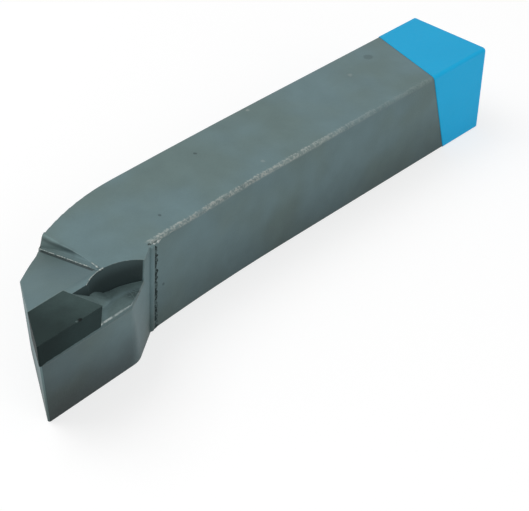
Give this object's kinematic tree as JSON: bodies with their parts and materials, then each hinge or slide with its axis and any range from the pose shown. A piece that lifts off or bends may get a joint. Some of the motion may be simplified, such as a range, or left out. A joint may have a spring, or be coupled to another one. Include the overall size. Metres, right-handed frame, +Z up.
{
  "type": "brazed carbide lathe tool",
  "caption": "Right-hand offset lathe tool: a square steel shank with a bent, ground head, a carbide tip brazed into a seat with a relief pocket behind it, and a painted butt end.",
  "frame": {"origin": "on the shank's flat base, on the shank's centre line, half-way along the tool's length", "axes": "+Y along the shank towards the painted butt end, with the cutting tip at -Y; +X towards the side of the main cutting edge; +Z up from the base"},
  "size_m": [0.0249, 0.1099, 0.0176],
  "materials": {
    "shank_steel": "satin, slightly greenish grey, blasted or pickled after brazing",
    "carbide": "fine ground, dark grey",
    "braze_alloy": "dulled grey, solidified smooth",
    "blue_paint": "semi-gloss sky blue, dipped"
  },
  "bodies": {
    "root": {"shank": "shank_steel", "carbide_tip": "carbide", "braze": "braze_alloy", "end_paint": "blue_paint"}
  },
  "joints": []
}
